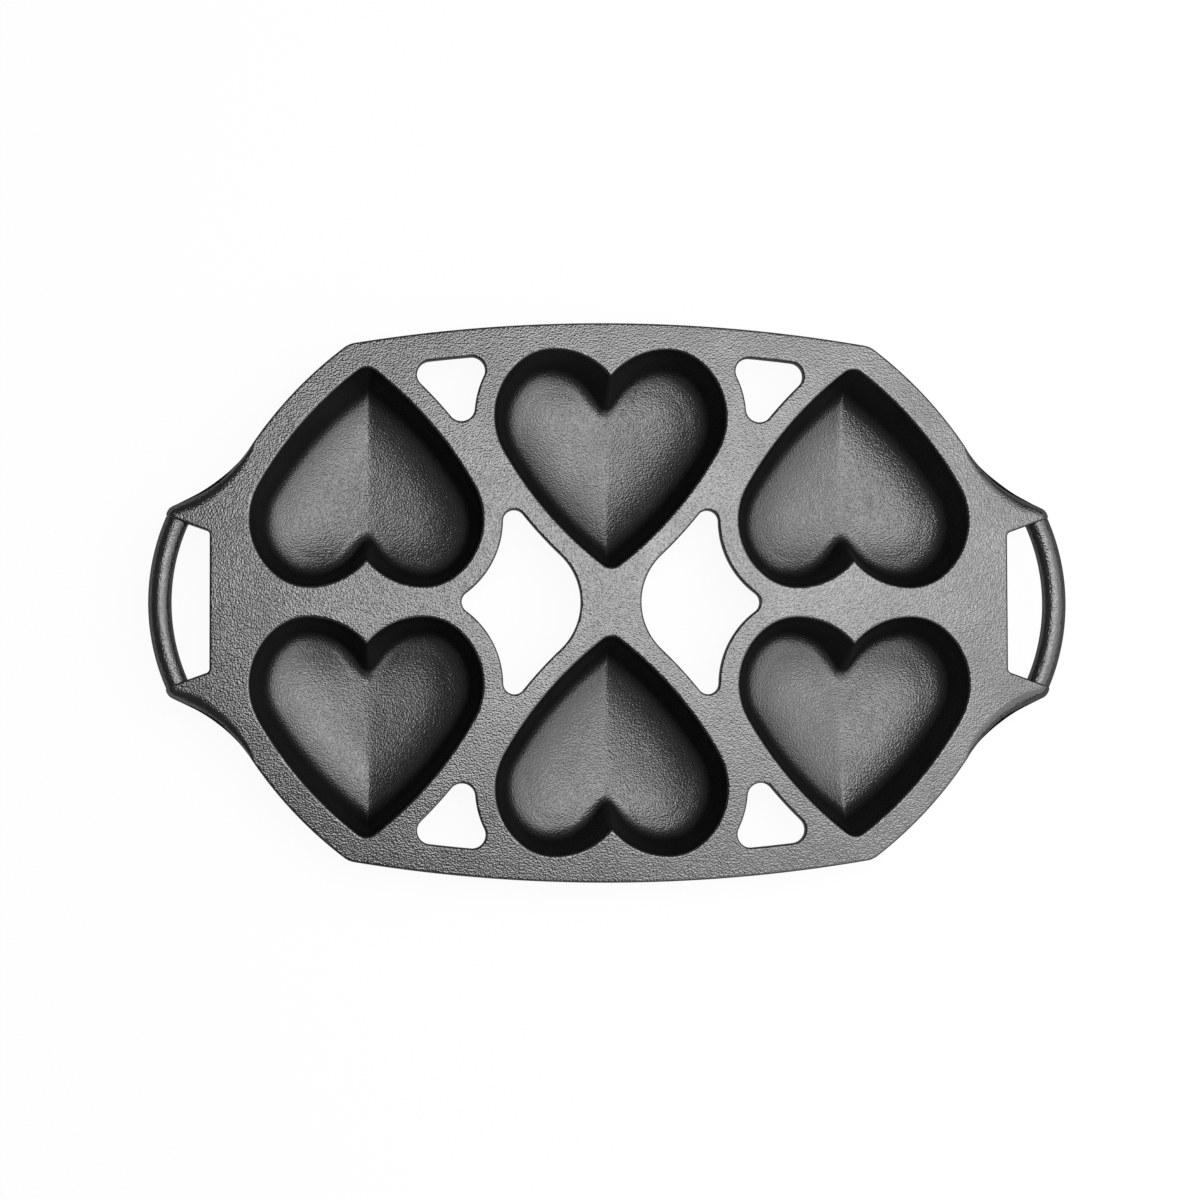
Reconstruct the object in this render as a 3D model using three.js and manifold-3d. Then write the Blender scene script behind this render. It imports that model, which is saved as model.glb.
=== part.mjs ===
// Cast iron mini cake pan: six heart-shaped cups hang from one flat deck with a loop handle at each end.
// Millimetres, +Z up. The origin is the middle of the pan on the surface that it stands on, +X points at
// the right handle and +Y at the back row. The real pan is a single casting, so its sections meet flush.

import * as THREE from 'three';
import { mergeVertices } from 'three/addons/utils/BufferGeometryUtils.js';
import Module from 'manifold-3d';

const wasm = await Module();
wasm.setup();

const { PI, asin, atan2, cos, max, min, sin, sqrt, tan } = Math;
const degrees = (angle) => (angle * PI) / 180;
const point = (x, y) => new THREE.Vector2(x, y);

// Overall sizes
const PAN_HEIGHT = 32; // resting surface to the deck's top
const DECK_THICK = 4.5;
const DECK_EDGE_ROUND = 1; // radius on the deck's top edges
const SEAM = 0.02; // hairline between two sections of the casting

// Heart rim, a chain of tangent arcs on each side of the heart's axis
const LOBE_X = 24.5; // the lobe's crown from the axis
const LOBE_INNER_R = 31.8; // cleft to crown
const LOBE_CROWN_R = 22.3; // crown to shoulder
const LOBE_CROWN_ARC = degrees(38);
const SHOULDER_R = 30.7;
const SHOULDER_END = degrees(29.5); // past the widest point, where the side begins
const SIDE_R = 165;
const TIP_R = 6;
const TIP_R_LEAST = 0.8; // the tip's radius at the foot of the wall

// Cup section
const WALL = 3.8;
const WALL_DRAFT = degrees(10); // from the vertical
const RIM_ROUND = 1.2;
const FLOOR_FILLET = 5; // inside, wall to floor
const FOOT_ROUND = 18; // outside, wall to foot
const DECK_FILLET = 3; // outside, wall to the deck's underside
const LAND_STEP = 0.6; // the cup's land reaches this far past its wall
const FLOOR_THICK = 4; // under the middle of the floor
const DISH_DROP = 9; // the floor falls this far from its edge to its middle
const CLEFT_DROP = 4.5; // and this far at the cleft, where the wall goes deeper
const CLEFT_EASE = 16; // length of rim over which the one changes into the other
const DISH_REACH = 35; // the distance in from its edge over which it falls
const DISH_POWER = 4; // the higher, the more of the fall lies near the edge
const KEEL_START = 5; // the crease on the floor's axis begins this far in from the last ring's cleft
const KEEL_END = 1.5; // and ends this far in from its tip

// Layout of the cups on the deck
const LOBE_GAP = 13; // between the lobes of the corner cups that face each other
const TIP_GAP = 29.6; // between the tips of the middle cups that face each other
const CUP_WEB = 18.6; // deck between the sides of neighbouring cups
const END_LAND = 16.9; // deck between a rim and the deck's straight end
const DECK_MARGIN = 11.4; // deck outside the rims
const CORNER_ROUND = 10; // where the deck's long edge meets its flank

// Windows cast through the deck between the cups
const KITE_WEB = 8.6; // deck between a rim and a kite window
const KITE_POINT_ROUND = 4.8;
const KITE_NOSE_ROUND = 28; // towards the pan's middle
const TRIANGLE_WEB = 8.7; // deck between a rim and a triangle window
const TRIANGLE_MARGIN = 12; // deck between a triangle window and the long edge
const TRIANGLE_ROUND = 5.8;

// Loop handles: two horns of the deck carry a round grip
const GRIP_WIDTH = 10;
const GRIP_HEIGHT = 9.2;
const GRIP_SWEEP_R = 87.6; // centre line of the bowed grip
const GRIP_SINK = 0.8; // the grip's top below the deck's top
const FINGER_GAP = 16.7; // deck end to grip, at the middle
const FINGER_SPAN = 60; // length of the deck's straight end
const GAP_CORNER_ROUND = 2;
const HORN_FLARE = degrees(20); // the horn's inner edge opens outwards
const HORN_SLOPE = degrees(25); // the horn's outer edge falls towards the grip
const HORN_POINT = 4; // where the horn's two edges would meet, past the grip
const HORN_STEP = 0.3; // the horn's end stands this far proud of the grip
const HORN_HEEL_ROUND = 1.4; // horn's inner edge to its end
const HORN_TIP_ROUND = 5; // horn's end to its outer edge
const HORN_SWEEP_R = 65; // hollow curve from the flank to the horn
const HORN_SWELL = 26; // length over which the deck thickens to the grip's underside

// Facets
const ARC_STEPS = 5;
const GRIP_STEPS = 10;
const GRIP_SIDES = 12;
const BEVEL_STEPS = 2;
const FLOOR_STEPS = 2;
const DISH_STEPS = [3, 7, 12]; // rings of the dish, in from the floor's edge
const FOOT_STEPS = 3;
const COLLAR_STEPS = 2;
const RIM_STEPS = 2;
const HALF_STEPS = { lobe: 5, crown: 3, shoulder: 6, side: 5, tip: 3 };

// Centres of the heart's arcs, in the heart's own frame: the lobes' crowns touch y = 0 and +Y is the tip.
const heading = (angle) => point(cos(angle), sin(angle));
const CROWN_TOP = -PI / 2;
const CROWN_END = CROWN_TOP + LOBE_CROWN_ARC;
const innerCentre = point(LOBE_X, LOBE_INNER_R);
const crownCentre = point(LOBE_X, LOBE_CROWN_R);
const shoulderCentre = crownCentre.clone().addScaledVector(heading(CROWN_END), LOBE_CROWN_R - SHOULDER_R);
const sideCentre = shoulderCentre.clone().addScaledVector(heading(SHOULDER_END), SHOULDER_R - SIDE_R);
const CLEFT_TURN = asin(LOBE_X / LOBE_INNER_R);

// The tip's arc when the whole rim is moved inwards by inset.
function tipArc(inset) {
  const radius = max(TIP_R - inset, TIP_R_LEAST);
  const reach = SIDE_R - inset - radius;
  const centre = point(0, sideCentre.y + sqrt(reach * reach - sideCentre.x * sideCentre.x));
  const start = atan2(centre.y - sideCentre.y, -sideCentre.x);
  return { centre, radius, start };
}

const HEART_LENGTH = tipArc(0).centre.y + TIP_R;

// The stretch from the cleft to the lobe's crown, as even steps. A straight mitre continues the lobe's end
// tangent to the axis where the rim is moved inwards.
function cleftStretch(inset) {
  const radius = LOBE_INNER_R - inset;
  const turn = inset > 0 ? CLEFT_TURN : asin(LOBE_X / radius);
  const mitre = max(inset, 0) * tan(CLEFT_TURN);
  const length = mitre + radius * turn;
  const arcStart = innerCentre.clone().addScaledVector(heading(CROWN_TOP - turn), radius);
  const towardsAxis = heading(PI - turn);
  return Array.from({ length: HALF_STEPS.lobe }, (_, i) => {
    const along = (length * i) / HALF_STEPS.lobe;
    if (along < mitre) return arcStart.clone().addScaledVector(towardsAxis, mitre - along);
    const angle = CROWN_TOP - turn + (along - mitre) / radius;
    return innerCentre.clone().addScaledVector(heading(angle), radius);
  });
}

// Even steps along an arc, without its last point.
function arcStretch(centre, radius, from, to, steps) {
  return Array.from({ length: steps }, (_, i) =>
    centre.clone().addScaledVector(heading(from + ((to - from) * i) / steps), radius));
}

// Half of the heart, x >= 0, from the cleft to the tip, moved inwards by inset.
function heartHalf(inset) {
  const tip = tipArc(inset);
  const half = [
    ...cleftStretch(inset),
    ...arcStretch(crownCentre, LOBE_CROWN_R - inset, CROWN_TOP, CROWN_END, HALF_STEPS.crown),
    ...arcStretch(shoulderCentre, SHOULDER_R - inset, CROWN_END, SHOULDER_END, HALF_STEPS.shoulder),
    ...arcStretch(sideCentre, SIDE_R - inset, SHOULDER_END, tip.start, HALF_STEPS.side),
    ...arcStretch(tip.centre, tip.radius, tip.start, PI / 2, HALF_STEPS.tip),
    point(0, tip.centre.y + tip.radius),
  ];
  half[0].x = 0;
  return half;
}

// The whole rim, anticlockwise from the cleft.
function heartLoop(inset) {
  const half = heartHalf(inset);
  const mirrored = half.slice(1, -1).reverse().map((p) => point(-p.x, p.y));
  return [...half, ...mirrored];
}

// An indexed geometry from vertices and triangles.
function geometryOf(positions, triangles) {
  const geometry = new THREE.BufferGeometry();
  geometry.setAttribute('position', new THREE.Float32BufferAttribute(positions, 3));
  geometry.setIndex(triangles);
  return geometry;
}

const solidOf = (geometry) => {
  const bare = geometry.clone().deleteAttribute('normal').deleteAttribute('uv');
  const merged = mergeVertices(bare, 1e-4);
  return new wasm.Manifold(new wasm.Mesh({
    numProp: 3,
    vertProperties: merged.attributes.position.array,
    triVerts: new Uint32Array(merged.index.array),
  }));
};

const meshGeometry = (solid) => {
  const { vertProperties, triVerts } = solid.getMesh();
  return geometryOf([...vertProperties], [...triVerts]);
};

// A prism of a closed outline between two heights.
function prism(outline, bottom, top) {
  const settings = { depth: top - bottom, bevelEnabled: false };
  const geometry = new THREE.ExtrudeGeometry(new THREE.Shape(outline), settings);
  return solidOf(geometry.translate(0, 0, bottom));
}

// Edges of an outline: a line runs along a heading, and an arc turns left (+1) or right (-1) about a centre.
const lineEdge = (start, angle) => ({ start, angle });
const arcEdge = (centre, radius, turn) => ({ centre, radius, turn });

// An edge moved to its own left.
function movedLeft(edge, distance) {
  if (edge.centre) return arcEdge(edge.centre, edge.radius - edge.turn * distance, edge.turn);
  const left = heading(edge.angle + PI / 2);
  return lineEdge(edge.start.clone().addScaledVector(left, distance), edge.angle);
}

// Points where a line meets a circle, and where two circles meet.
function lineMeetsArc(line, arc) {
  const along = heading(line.angle);
  const foot = line.start.clone().addScaledVector(along, arc.centre.clone().sub(line.start).dot(along));
  const half = sqrt(arc.radius ** 2 - foot.distanceToSquared(arc.centre));
  return [-half, half].map((step) => foot.clone().addScaledVector(along, step));
}

function arcMeetsArc(a, b) {
  const across = b.centre.clone().sub(a.centre);
  const apart = across.length();
  const along = (a.radius ** 2 - b.radius ** 2 + apart ** 2) / (2 * apart);
  const half = sqrt(a.radius ** 2 - along ** 2);
  const unit = across.divideScalar(apart);
  const foot = a.centre.clone().addScaledVector(unit, along);
  return [-half, half].map((step) => foot.clone().addScaledVector(point(-unit.y, unit.x), step));
}

function lineMeetsLine(a, b) {
  const u = heading(a.angle);
  const v = heading(b.angle);
  const gap = b.start.clone().sub(a.start);
  return [a.start.clone().addScaledVector(u, gap.cross(v) / u.cross(v))];
}

// The crossing of two edges that is nearest to a point.
function crossing(a, b, near) {
  const meets = a.centre && b.centre ? arcMeetsArc : a.centre || b.centre ? lineMeetsArc : lineMeetsLine;
  const found = meets === lineMeetsArc && a.centre ? meets(b, a) : meets(a, b);
  return found.sort((p, q) => p.distanceTo(near) - q.distanceTo(near))[0];
}

// The point of an edge that lies nearest to another point.
function touch(edge, other) {
  if (edge.centre) return other.clone().sub(edge.centre).setLength(edge.radius).add(edge.centre);
  const along = heading(edge.angle);
  return edge.start.clone().addScaledVector(along, other.clone().sub(edge.start).dot(along));
}

// Points from one place on an edge to another, without the last one. A straight edge needs only its start.
function edgePoints(edge, from, to) {
  if (!edge.centre) return [from];
  const first = from.clone().sub(edge.centre).angle();
  const span = to.clone().sub(edge.centre).angle() - first;
  const swept = edge.turn * THREE.MathUtils.euclideanModulo(edge.turn * span, 2 * PI);
  return arcStretch(edge.centre, edge.radius, first, first + swept, ARC_STEPS);
}

// A rounded corner between two edges. A left turn is +1 and a right turn is -1.
function roundedCorner(before, after, radius, turn, near) {
  const centre = crossing(movedLeft(before, turn * radius), movedLeft(after, turn * radius), near);
  return { edge: arcEdge(centre, radius, turn), start: touch(before, centre), end: touch(after, centre) };
}

// The outline of a closed chain of edges, with a rounded corner after each edge.
function roundedLoop(edges, radii, middle) {
  const corners = edges.map((edge, i) =>
    roundedCorner(edge, edges[(i + 1) % edges.length], radii[i], 1, middle));
  return corners.flatMap((corner, i) => {
    const next = corners[(i + 1) % corners.length];
    return [
      ...edgePoints(corner.edge, corner.start, corner.end),
      ...edgePoints(edges[(i + 1) % edges.length], corner.end, next.start),
    ];
  });
}

// Where each cup stands: its axis, its lobe line and whether its tip points to the back.
const cornerLobeY = LOBE_GAP / 2;
const middleLobeY = TIP_GAP / 2 + HEART_LENGTH;
const sideCentresRise = middleLobeY - cornerLobeY - 2 * sideCentre.y;
const columnPitch = sqrt((2 * SIDE_R + CUP_WEB) ** 2 - sideCentresRise ** 2) + 2 * sideCentre.x;
const cupPlaces = [];
for (const [row, back] of [['back', 1], ['front', -1]]) {
  for (const [column, side] of [['left', -1], ['middle', 0], ['right', 1]]) {
    const outwards = side !== 0;
    cupPlaces.push({
      name: `heart_cup_${row}_${column}`,
      x: side * columnPitch,
      y: back * (outwards ? cornerLobeY : middleLobeY),
      tip: outwards ? back : -back,
    });
  }
}

// A point of a heart's own frame on the deck.
const onDeck = (place, p) => point(place.x + place.tip * p.x, place.y + place.tip * p.y);

// Landmarks of the back right quarter, which the outlines below follow.
const cornerCup = cupPlaces.find((place) => place.name === 'heart_cup_back_right');
const middleCup = cupPlaces.find((place) => place.name === 'heart_cup_back_middle');
const mirrorX = (p) => point(-p.x, p.y);
const mirrorY = (p) => point(p.x, -p.y);
const cornerOuterSide = onDeck(cornerCup, sideCentre);
const cornerInnerSide = onDeck(cornerCup, mirrorX(sideCentre));
const cornerInnerShoulder = onDeck(cornerCup, mirrorX(shoulderCentre));
const middleSide = onDeck(middleCup, mirrorX(sideCentre));
const middleShoulder = onDeck(middleCup, mirrorX(shoulderCentre));

// The long edge bows so that the same margin lies outside the middle lobes and the corner tips.
const longEdgeTop = middleLobeY + DECK_MARGIN;
const longEdgeFall = middleLobeY - (cornerLobeY + HEART_LENGTH);
const longEdgeR = (columnPitch ** 2 + longEdgeFall ** 2) / (2 * longEdgeFall);
const longEdgeCentre = point(0, longEdgeTop - longEdgeR);

// The handle's plan: the deck's straight end, the horn's two edges and the bowed grip.
const deckEnd = columnPitch + shoulderCentre.x + SHOULDER_R + END_LAND;
const gapCorner = point(deckEnd, FINGER_SPAN / 2);
const gripCentreX = deckEnd + FINGER_GAP + GRIP_WIDTH / 2 - GRIP_SWEEP_R;
const gripOuter = arcEdge(point(gripCentreX, 0), GRIP_SWEEP_R + GRIP_WIDTH / 2, 1);
const hornInner = lineEdge(gapCorner, HORN_FLARE);
const alongHorn = heading(HORN_FLARE);
const nearGrip = gapCorner.clone().addScaledVector(alongHorn, FINGER_GAP);
const hornRoot = crossing(hornInner, gripOuter, nearGrip);
const hornCorner = hornRoot.clone().addScaledVector(alongHorn, HORN_POINT);
const gripTop = PAN_HEIGHT - GRIP_SINK;
const gripBottom = gripTop - GRIP_HEIGHT;

// The deck's outline in the back right quarter, from its straight end to the middle of its long edge.
function deckQuarter() {
  const end = lineEdge(point(deckEnd, 0), PI / 2);
  const hornEnd = lineEdge(hornRoot.clone().addScaledVector(alongHorn, HORN_STEP), HORN_FLARE + PI / 2);
  const hornOuter = lineEdge(hornCorner, PI - HORN_SLOPE);
  const flank = arcEdge(cornerOuterSide, SIDE_R + DECK_MARGIN, 1);
  const longEdge = arcEdge(longEdgeCentre, longEdgeR, 1);
  const deckCorner = point(columnPitch, longEdgeTop);
  const corners = [
    roundedCorner(end, hornInner, GAP_CORNER_ROUND, -1, gapCorner),
    roundedCorner(hornInner, hornEnd, HORN_HEEL_ROUND, 1, hornRoot),
    roundedCorner(hornEnd, hornOuter, HORN_TIP_ROUND, 1, hornCorner),
    roundedCorner(hornOuter, flank, HORN_SWEEP_R, -1, hornCorner),
    roundedCorner(flank, longEdge, CORNER_ROUND, 1, deckCorner),
  ];
  const edges = [hornInner, hornEnd, hornOuter, flank, longEdge];
  const last = point(0, longEdgeTop);
  const outline = [];
  corners.forEach((corner, i) => {
    const reach = i + 1 < corners.length ? corners[i + 1].start : last;
    outline.push(...edgePoints(corner.edge, corner.start, corner.end));
    outline.push(...edgePoints(edges[i], corner.end, reach));
  });
  return [...outline, last];
}

// A quarter turned into the whole outline, anticlockwise.
function fourQuarters(quarter) {
  const back = [...quarter, ...quarter.slice(0, -1).reverse().map(mirrorX)];
  const front = back.map(mirrorY).reverse();
  return [...back, ...front];
}

// The kite window on the right, between the corner cups' lobes and the middle cups' sides.
function kiteWindow() {
  const lobe = (centre) => arcEdge(centre, SHOULDER_R + KITE_WEB, -1);
  const side = (centre) => arcEdge(centre, SIDE_R + KITE_WEB, -1);
  const edges = [
    lobe(cornerInnerShoulder),
    side(middleSide),
    side(mirrorY(middleSide)),
    lobe(mirrorY(cornerInnerShoulder)),
  ];
  const radii = [KITE_POINT_ROUND, KITE_NOSE_ROUND, KITE_POINT_ROUND, KITE_POINT_ROUND];
  return roundedLoop(edges, radii, point(columnPitch / 2, 0));
}

// The triangle window at the back right, between a corner cup's side, a middle cup's lobe and the long edge.
function triangleWindow() {
  const edges = [
    arcEdge(cornerInnerSide, SIDE_R + TRIANGLE_WEB, -1),
    arcEdge(longEdgeCentre, longEdgeR - TRIANGLE_MARGIN, 1),
    arcEdge(middleShoulder, SHOULDER_R + TRIANGLE_WEB, -1),
  ];
  const middle = middleShoulder.clone().lerp(point(columnPitch, longEdgeTop), 0.5);
  return roundedLoop(edges, edges.map(() => TRIANGLE_ROUND), middle);
}

// The deck: a plate as deep as the handles need, relieved underneath to the deck's own thickness between
// the horns, with its windows and the openings that the cups fill.
function deckGeometry() {
  const shape = new THREE.Shape(fourQuarters(deckQuarter()));
  const kite = kiteWindow();
  const triangle = triangleWindow();
  const rightHand = [kite, triangle, triangle.map(mirrorY)];
  const windows = [...rightHand, ...rightHand.map((outline) => outline.map(mirrorX))];
  shape.holes = windows.map((outline) => new THREE.Path(outline));
  const depth = PAN_HEIGHT - gripBottom;
  const plate = new THREE.ExtrudeGeometry(shape, {
    depth: depth - 2 * DECK_EDGE_ROUND,
    bevelSize: DECK_EDGE_ROUND,
    bevelThickness: DECK_EDGE_ROUND,
    bevelOffset: -DECK_EDGE_ROUND,
    bevelSegments: BEVEL_STEPS,
  }).translate(0, 0, gripBottom + DECK_EDGE_ROUND);

  const underside = PAN_HEIGHT - DECK_THICK;
  const swellEnd = hornCorner.x;
  const slope = (underside - gripBottom) / HORN_SWELL;
  const below = gripBottom - DECK_THICK;
  const flat = swellEnd - HORN_SWELL;
  const far = flat + (underside - below) / slope;
  const profile = [point(-far, below), point(far, below), point(flat, underside), point(-flat, underside)];
  const span = 2 * longEdgeTop;
  const relief = new THREE.ExtrudeGeometry(new THREE.Shape(profile), { depth: 2 * span, bevelEnabled: false })
    .rotateX(PI / 2)
    .translate(0, span, 0);

  let deck = solidOf(plate).subtract(solidOf(relief));
  const opening = heartLoop(-rimLand - SEAM);
  for (const place of cupPlaces) {
    const outline = opening.map((p) => onDeck(place, p));
    deck = deck.subtract(prism(outline, gripBottom - DECK_THICK, PAN_HEIGHT + DECK_THICK));
  }
  return meshGeometry(deck);
}

// The cup's section: how far each ring lies inside the rim, and its height, from the foot up the outside to a
// collar under the deck, up through the deck, over the rim, down the inside and down the dish of the floor.
const WALL_RUN = tan(WALL_DRAFT);
const outerInset = (z) => (PAN_HEIGHT - z) * WALL_RUN - WALL / cos(WALL_DRAFT);
const wallReach = -outerInset(PAN_HEIGHT - DECK_THICK);
const rimLand = wallReach + LAND_STEP;
const collarRoom = min(LOBE_GAP / 2, CUP_WEB / 2, KITE_WEB, TRIANGLE_WEB) - wallReach - SEAM;
const collarRound = min(DECK_FILLET, collarRoom / (1 / cos(WALL_DRAFT) - WALL_RUN));

const dishHeight = (drop, along) => FLOOR_THICK + drop * (1 - along / DISH_REACH) ** DISH_POWER;

function sectionArc(inset, z, radius, from, to, steps) {
  return Array.from({ length: steps + 1 }, (_, i) => {
    const angle = from + ((to - from) * i) / steps;
    return { inset: inset + radius * cos(angle), z: z + radius * sin(angle) };
  });
}

function cupSection(drop) {
  const underside = PAN_HEIGHT - DECK_THICK - SEAM;
  const collarZ = underside - collarRound;
  const collarCentre = outerInset(collarZ) - collarRound / cos(WALL_DRAFT);
  const footCentre = outerInset(FOOT_ROUND) + FOOT_ROUND / cos(WALL_DRAFT);
  const rimCentre = RIM_ROUND * WALL_RUN - RIM_ROUND / cos(WALL_DRAFT);
  const edgeSlope = atan2(DISH_POWER * drop, DISH_REACH);
  const filletZ = dishHeight(drop, 0) + FLOOR_FILLET * cos(edgeSlope);
  const filletCentre = (PAN_HEIGHT - filletZ) * WALL_RUN + FLOOR_FILLET / cos(WALL_DRAFT);
  const floorEdge = filletCentre - FLOOR_FILLET * sin(edgeSlope);
  return [
    ...sectionArc(footCentre, FOOT_ROUND, FOOT_ROUND, -PI / 2, WALL_DRAFT - PI, FOOT_STEPS),
    ...sectionArc(collarCentre, collarZ, collarRound, WALL_DRAFT, PI / 2, COLLAR_STEPS),
    { inset: -rimLand, z: underside },
    { inset: -rimLand, z: PAN_HEIGHT },
    ...sectionArc(rimCentre, PAN_HEIGHT - RIM_ROUND, RIM_ROUND, PI / 2, WALL_DRAFT, RIM_STEPS),
    ...sectionArc(filletCentre, filletZ, FLOOR_FILLET, PI + WALL_DRAFT, 1.5 * PI - edgeSlope, FLOOR_STEPS),
    ...DISH_STEPS.map((along) => ({ inset: floorEdge + along, z: dishHeight(drop, along) })),
  ];
}

// The keel: the crease on the floor's axis. It falls from the last ring of the dish to the floor's middle.
function keelPoints(lastRing, count) {
  const [, cleftY, top] = lastRing[0];
  const start = cleftY + KEEL_START;
  const end = lastRing[count][1] - KEEL_END;
  return Array.from({ length: count + 1 }, (_, i) => {
    const share = i / count;
    const drop = (top - FLOOR_THICK) * (1 - (2 * share - 1) ** DISH_POWER);
    return [0, start + (end - start) * share, top - drop];
  });
}

// The drop of the dish at a place of the rim, counted in steps from the cleft.
function dropAt(step) {
  const along = (step * LOBE_INNER_R * CLEFT_TURN) / HALF_STEPS.lobe;
  return CLEFT_DROP + (DISH_DROP - CLEFT_DROP) * THREE.MathUtils.smoothstep(along, 0, CLEFT_EASE);
}

// One cup, lofted through the rings of its section and closed by its flat foot and its creased floor.
function cupGeometry() {
  const size = heartLoop(0).length;
  const sections = Array.from({ length: size }, (_, i) => cupSection(dropAt(min(i, size - i))));
  const rings = sections[0].map((_, ring) => sections.map((section, i) => {
    const p = heartLoop(section[ring].inset)[i];
    return [p.x, p.y, section[ring].z];
  }));
  const half = size / 2;
  const keel = keelPoints(rings.at(-1), half);
  const positions = [...rings, keel].flat(2);
  const triangles = [];
  const quad = (a, b, c, d) => triangles.push(a, b, c, a, c, d);

  for (let ring = 0; ring + 1 < rings.length; ring++) {
    for (let i = 0; i < size; i++) {
      const next = (i + 1) % size;
      quad(ring * size + i, ring * size + next, (ring + 1) * size + next, (ring + 1) * size + i);
    }
  }
  const floor = (rings.length - 1) * size;
  const keelStart = rings.length * size;
  for (let i = 0; i < size; i++) {
    const next = (i + 1) % size;
    const inner = keelStart + min(i, size - i);
    const innerNext = keelStart + min(i + 1, size - i - 1);
    quad(floor + i, floor + next, innerNext, inner);
  }
  const foot = rings[0].map(([x, y]) => point(x, y));
  for (const [a, b, c] of THREE.ShapeUtils.triangulateShape(foot, [])) triangles.push(a, c, b);
  return geometryOf(positions, triangles);
}

// The grip: an oval bar swept along its bow and trimmed where the horns hold it.
class GripPath extends THREE.Curve {
  constructor(reach) {
    super();
    this.reach = reach;
  }

  getPoint(t, target = new THREE.Vector3()) {
    const angle = this.reach * (2 * t - 1);
    const x = gripCentreX + GRIP_SWEEP_R * cos(angle);
    return target.set(x, GRIP_SWEEP_R * sin(angle), gripTop - GRIP_HEIGHT / 2);
  }
}

function gripGeometry() {
  const oval = new THREE.Shape().absellipse(0, 0, GRIP_HEIGHT / 2, GRIP_WIDTH / 2, 0, 2 * PI);
  const reach = asin((hornCorner.y + GRIP_WIDTH) / GRIP_SWEEP_R);
  const bar = new THREE.ExtrudeGeometry(oval, {
    steps: GRIP_STEPS,
    curveSegments: GRIP_SIDES,
    extrudePath: new GripPath(reach),
  });
  const trim = SEAM / cos(HORN_FLARE);
  const flare = alongHorn.clone().multiplyScalar(2 * (hornCorner.x - deckEnd));
  const upper = [point(deckEnd, gapCorner.y - trim), point(deckEnd + flare.x, gapCorner.y - trim + flare.y)];
  const between = [...upper.map(mirrorY), ...upper.reverse()];
  return meshGeometry(solidOf(bar).intersect(prism(between, 0, PAN_HEIGHT)));
}

// Seasoned iron, dark and slightly glossy. The grips are handled more and shine a little more.
const seasonedIron = new THREE.MeshStandardMaterial({ color: 0x343536, roughness: 0.5, metalness: 0.2 });
const gripIron = new THREE.MeshStandardMaterial({ color: 0x303132, roughness: 0.42, metalness: 0.2 });

function section(name, geometry, material) {
  const mesh = new THREE.Mesh(geometry, material);
  mesh.name = name;
  return mesh;
}

const pan = new THREE.Group();
pan.add(section('deck', deckGeometry(), seasonedIron));

const cup = cupGeometry();
for (const place of cupPlaces) {
  const mesh = section(place.name, cup, seasonedIron);
  mesh.position.set(place.x, place.y, 0);
  mesh.rotation.z = place.tip > 0 ? 0 : PI;
  pan.add(mesh);
}

const grip = gripGeometry();
for (const [name, turn] of [['right_grip', 0], ['left_grip', PI]]) {
  const mesh = section(name, grip, gripIron);
  mesh.rotation.z = turn;
  pan.add(mesh);
}

export default pan;
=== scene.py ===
# %% [markdown]
# # A cast iron pan for six small heart cakes
# The real pan is one sand casting: a flat deck, six heart-shaped cups hanging from it, and a loop handle at each
# end. The imported CAD model gives the frame, and every piece made here replaces the CAD node of the same section.
# The frame comes in first. The finished pan has to stay inside it.

# %% Load the frame
import cmath
import math
from collections import namedtuple

import bpy
import numpy as np
from mathutils import Matrix, Vector


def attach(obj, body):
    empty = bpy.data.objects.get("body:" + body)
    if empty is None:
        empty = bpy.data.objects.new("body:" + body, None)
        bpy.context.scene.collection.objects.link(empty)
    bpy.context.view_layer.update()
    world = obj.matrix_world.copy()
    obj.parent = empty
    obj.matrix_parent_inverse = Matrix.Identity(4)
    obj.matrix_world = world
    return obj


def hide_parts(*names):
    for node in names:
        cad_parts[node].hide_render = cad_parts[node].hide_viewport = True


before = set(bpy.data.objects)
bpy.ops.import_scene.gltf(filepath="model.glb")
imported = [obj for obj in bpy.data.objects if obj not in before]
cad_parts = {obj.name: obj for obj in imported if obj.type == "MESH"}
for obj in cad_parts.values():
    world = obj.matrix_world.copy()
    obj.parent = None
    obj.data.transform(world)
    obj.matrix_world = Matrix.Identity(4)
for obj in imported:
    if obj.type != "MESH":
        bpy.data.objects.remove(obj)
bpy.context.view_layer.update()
bpy.ops.object.select_all(action="DESELECT")
MM = 0.001

# %% [markdown]
# The photograph looks almost straight down from a little left of the middle and towards the front. The camera is
# set by its place, the direction it looks in and a small shift of its sensor. A long lens keeps the perspective as
# gentle as it is in the photograph.

# %% The camera
CAMERA_PLACE = (-0.0792, -0.0582, 0.8694)
CAMERA_AIM = (0.0338, 0.0241, -1.0)
CAMERA_UP = (0.0013, 1.0, 0.0)
LENS = 58.695  # mm, on a sensor 36 mm wide
SENSOR_SHIFT = (0.089, 0.0753)

aim = Vector(CAMERA_AIM).normalized()
right = aim.cross(Vector(CAMERA_UP)).normalized()
upward = right.cross(aim)
camera_data = bpy.data.cameras.new("overhead_camera")
camera_data.sensor_width = 36
camera_data.lens = LENS
camera_data.shift_x, camera_data.shift_y = SENSOR_SHIFT
camera = bpy.data.objects.new("overhead_camera", camera_data)
turn = Matrix((right, upward, -aim)).transposed().to_4x4()
camera.matrix_world = Matrix.Translation(CAMERA_PLACE) @ turn
bpy.context.scene.collection.objects.link(camera)
bpy.context.scene.camera = camera
print("camera looks along", [round(c, 3) for c in aim])

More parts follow.
